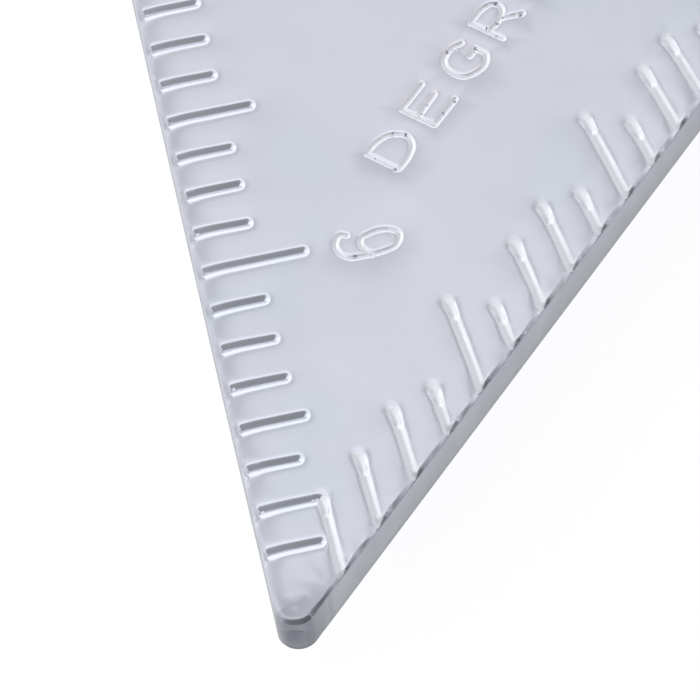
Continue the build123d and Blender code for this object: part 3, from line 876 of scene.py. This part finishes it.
def plate_finish():
    """Cast and tumbled aluminium with faint blotches of tint; its side walls are duller, and darker with
    painted shade that deepens towards the bottom.
    """
    tones = [(0.765, 0.800, 0.895), (0.785, 0.805, 0.905), (0.805, 0.805, 0.900)]
    # Painted shade: the side walls are darker than the face, and darker still towards their bottom edge.
    upper_wall_shade, lower_wall_shade = (0.395, 0.410, 0.465), (0.340, 0.355, 0.380)
    # Dark colour for the tip and the chips; on the tip's walls and underside and in the chips it is
    # painted shade.
    darkening, darkening_most = (0.16, 0.17, 0.20), 0.75
    # Painted highlight: the grooves' rougher surface is lighter than the face.
    painted_highlight = (0.88, 0.89, 0.94)
    finish = Finish("cast_aluminium", tones[1], 1.0, 0.25)
    wall, cast = finish.attribute("wall"), finish.attribute("cast")
    darkening_mix = finish.ramp(finish.attribute("darkening"), (0.0, 0.0), (1.0, darkening_most))
    face = finish.ramp(finish.noise(11, 1.5), (0.36, tones[0]), (0.5, tones[1]), (0.64, tones[2]))
    # Painted shade darkens the walls from top to bottom.
    side = finish.ramp(finish.attribute("below"), (0.1, upper_wall_shade), (0.9, lower_wall_shade))
    metal = finish.mix(wall, finish.mix(cast, face, painted_highlight), side)
    finish.color(finish.mix(darkening_mix, metal, darkening))
    face_gloss = finish.between(finish.noise(5, 3), 0.22, 0.27)
    side_gloss = finish.between(finish.noise(2, 3), 0.34, 0.44)
    cast_gloss = finish.between(finish.noise(0.5, 3), 0.35, 0.43)
    finish.roughness(finish.mix(cast, finish.mix(wall, face_gloss, side_gloss), cast_gloss))
    finish.bump((finish.noise(9, 1.0), 60), (finish.noise(1.6, 2.0), 6), (finish.noise(0.16, 2.0), 1.2))
    return finish.material


def brushed_finish(name, color, low, high, stretch, depth=2.0):
    """Machined metal with fine lines along one direction, or none if it isn't stretched."""
    finish = Finish(name, color, 1.0, low)
    lines = finish.noise(0.35, 3.0, 0.6, stretch)
    finish.color(finish.between(finish.noise(14, 2), shaded(color, 0.93), color))
    finish.roughness(finish.between(lines, low, high))
    finish.bump((finish.noise(12, 1.0), 20), (lines, depth))
    return finish.material


def plated_finish(name, color, low, high):
    """Smooth bright metal, a little clouded."""
    finish = Finish(name, color, 1.0, low)
    finish.color(finish.between(finish.noise(3, 3), shaded(color, 0.9), color))
    finish.roughness(finish.between(finish.noise(0.8, 3), low, high))
    finish.bump((finish.noise(0.25, 2), 1.0))
    return finish.material


def moulded_finish(name, color, low, high, grain, depth):
    """Moulded plastic with an even spark-eroded grain."""
    finish = Finish(name, color, 0.0, low)
    finish.color(finish.ramp(finish.noise(6, 3), (0.35, color), (0.75, shaded(color, 1.25))))
    finish.roughness(finish.between(finish.noise(1.5, 3), low, high))
    finish.bump((finish.noise(grain, 2.0), depth))
    return finish.material


def dress(node, material):
    """Puts a finish on a CAD node."""
    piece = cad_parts[node]
    for holder in piece.material_slots:
        holder.material = material


cast_aluminium = plate_finish()
rail_aluminium = brushed_finish("rail_aluminium", (0.76, 0.77, 0.80), 0.26, 0.38, (1, 0.012, 1))
steel = plated_finish("zinc_steel", (0.66, 0.67, 0.69), 0.20, 0.32)
brass = plated_finish("turned_brass", (0.80, 0.61, 0.30), 0.20, 0.32)
glide_plastic = moulded_finish("glide_plastic", (0.80, 0.80, 0.77), 0.38, 0.48, 0.5, 3)
knob_plastic = moulded_finish("knob_plastic", (0.030, 0.030, 0.034), 0.42, 0.52, 0.22, 9)
cap_aluminium = brushed_finish("cap_aluminium", (0.74, 0.75, 0.78), 0.24, 0.34, (1, 1, 1), 1.5)

FINISHES = {
    "pivot_bush_upper": brass, "pivot_bush_lower": brass, "slot_sleeve": brass, "knob_insert": brass,
    "upper_rail": rail_aluminium, "lower_rail": rail_aluminium, "tie_block": rail_aluminium,
    "upper_glide_strip": glide_plastic, "lower_glide_strip": glide_plastic,
    "pivot_bolt": steel, "pivot_washer": steel, "pivot_disc_spring": steel, "pivot_nut": steel,
    "tie_screws": steel, "tie_nuts": steel, "clamp_bolt": steel, "captive_washer": steel,
    "knob_grip": knob_plastic, "knob_cap": cap_aluminium, "square_plate": cast_aluminium,
}
for node_name, finish_material in FINISHES.items():
    dress(node_name, finish_material)

plate = plate_mesh(cast_aluminium)
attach(plate, "square")
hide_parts("square_plate")


# ---------------------------------------------------------------- stage, light and camera
def make_floor():
    """A large floor just under the lower rail, with a glow of its own that keeps it white."""
    half, level = 4.0, cad_low.z - 0.1 * MM
    paint, glow = 0.35, 0.78
    corners = [(-half, -half, level), (half, -half, level), (half, half, level), (-half, half, level)]
    mesh = bpy.data.meshes.new("floor")
    mesh.from_pydata(corners, [], [(0, 1, 2, 3)])
    material = bpy.data.materials.new("floor_white")
    material.use_nodes = True
    shader = material.node_tree.nodes["Principled BSDF"]
    shader.inputs["Base Color"].default_value = (paint, paint, paint, 1)
    shader.inputs["Roughness"].default_value = 0.9
    shader.inputs["Specular IOR Level"].default_value = 0.0
    shader.inputs["Emission Color"].default_value = (1, 1, 1, 1)
    shader.inputs["Emission Strength"].default_value = glow
    mesh.materials.append(material)
    floor = bpy.data.objects.new("floor", mesh)
    bpy.context.scene.collection.objects.link(floor)


def make_softbox(name, place, target, size, radiance):
    """A rectangular light of an even brightness, turned to its target."""
    light = bpy.data.lights.new(name, "AREA")
    light.shape = "RECTANGLE"
    light.size, light.size_y = size
    light.energy = radiance * math.pi * size[0] * size[1]
    box = bpy.data.objects.new(name, light)
    box.location = place
    box.rotation_euler = (Vector(target) - Vector(place)).to_track_quat("-Z", "Y").to_euler()
    box.visible_camera = False
    box.visible_glossy = False
    bpy.context.scene.collection.objects.link(box)


def make_world():
    """A pale studio: a soft key over the fence's side, a dim gap round it, then bright walls.

    From just behind the zenith the front takes over, which falls off to dark towards +X.  High up on
    the +Y side all is dimmer.  The stops are radiances by the cosine of the angle from a direction.
    """
    key_direction, front_direction, right_direction = (-0.569, 0.057, 0.821), (1, 0, 0), (0, 1, 0)
    ring = [(-1.0, 1.0), (0.60, 1.30), (0.89, 1.25), (0.915, 0.74), (0.94, 0.47), (0.96, 0.47),
            (0.982, 0.69), (0.996, 0.875), (1.0, 0.89)]
    front = [(-1.0, 0.9), (-0.38, 0.86), (-0.12, 1.15), (0.02, 1.1), (0.18, 0.70), (0.32, 0.38),
             (0.60, 0.28), (0.85, 0.28), (1.0, 0.40)]
    right = [(-1.0, 1.0), (0.16, 1.0), (0.33, 0.93), (0.46, 0.70), (0.62, 0.60), (0.78, 0.66),
             (0.88, 0.78), (0.96, 0.85), (1.0, 0.9)]
    front_start, front_end = -0.50, -0.34
    world = bpy.data.worlds.new("studio")
    bpy.context.scene.world = world
    world.use_nodes = True
    nodes, links = world.node_tree.nodes, world.node_tree.links
    place = nodes.new("ShaderNodeTexCoord").outputs["Generated"]

    def brightness(direction, stops):
        """What the stops give for every direction."""
        dot = nodes.new("ShaderNodeVectorMath")
        dot.operation = "DOT_PRODUCT"
        dot.inputs[1].default_value = direction
        ramp = nodes.new("ShaderNodeValToRGB")
        elements = ramp.color_ramp.elements
        while len(elements) < len(stops):
            elements.new(0.5)
        half = nodes.new("ShaderNodeMath")
        half.operation = "MULTIPLY_ADD"
        half.inputs[1].default_value = half.inputs[2].default_value = 0.5
        for element, (cosine, value) in zip(elements, stops):
            element.position = (cosine + 1) / 2
            element.color = (value, value, value, 1)
        links.new(place, dot.inputs[0])
        links.new(dot.outputs["Value"], half.inputs[0])
        links.new(half.outputs[0], ramp.inputs["Fac"])
        return ramp.outputs["Color"]

    def blend(kind, first, second):
        """A mix node, whose share is still to be set, and its output."""
        node = nodes.new("ShaderNodeMix")
        node.data_type, node.blend_type = "RGBA", kind
        links.new(first, node.inputs[6])
        links.new(second, node.inputs[7])
        return node.inputs[0], node.outputs[2]

    in_front = brightness(front_direction, [(-1, 0), (front_start, 0), (front_end, 1), (1, 1)])
    share, studio = blend("MIX", brightness(key_direction, ring), brightness(front_direction, front))
    links.new(in_front, share)
    share, studio = blend("MULTIPLY", studio, brightness(right_direction, right))
    share.default_value = 1
    links.new(studio, nodes["Background"].inputs["Color"])


def make_camera():
    """Looks down at the ruler's 45 degree tip from beyond it."""
    place = Vector((325.449, -9.646, 239.115)) * MM
    right = Vector((0.19930, 0.97745, -0.06975))
    up = Vector((-0.79805, 0.20320, 0.56729))
    forward = Vector((-0.56868, 0.05740, -0.82056))
    data = bpy.data.cameras.new("camera")
    data.sensor_width = 36
    data.lens = 231.99
    data.clip_start = 0.01
    data.clip_end = 20
    camera = bpy.data.objects.new("camera", data)
    turn = Matrix((right, up, -forward)).transposed().to_4x4()
    camera.matrix_world = Matrix.Translation(place) @ turn
    bpy.context.scene.collection.objects.link(camera)
    bpy.context.scene.camera = camera


make_floor()
make_world()
make_softbox("overhead_box", place=(0.10, 0.05, 0.80), target=(0.12, 0.05, 0), size=(0.6, 0.6),
             radiance=0.35)
make_camera()
bpy.context.scene.view_settings.view_transform = "Standard"
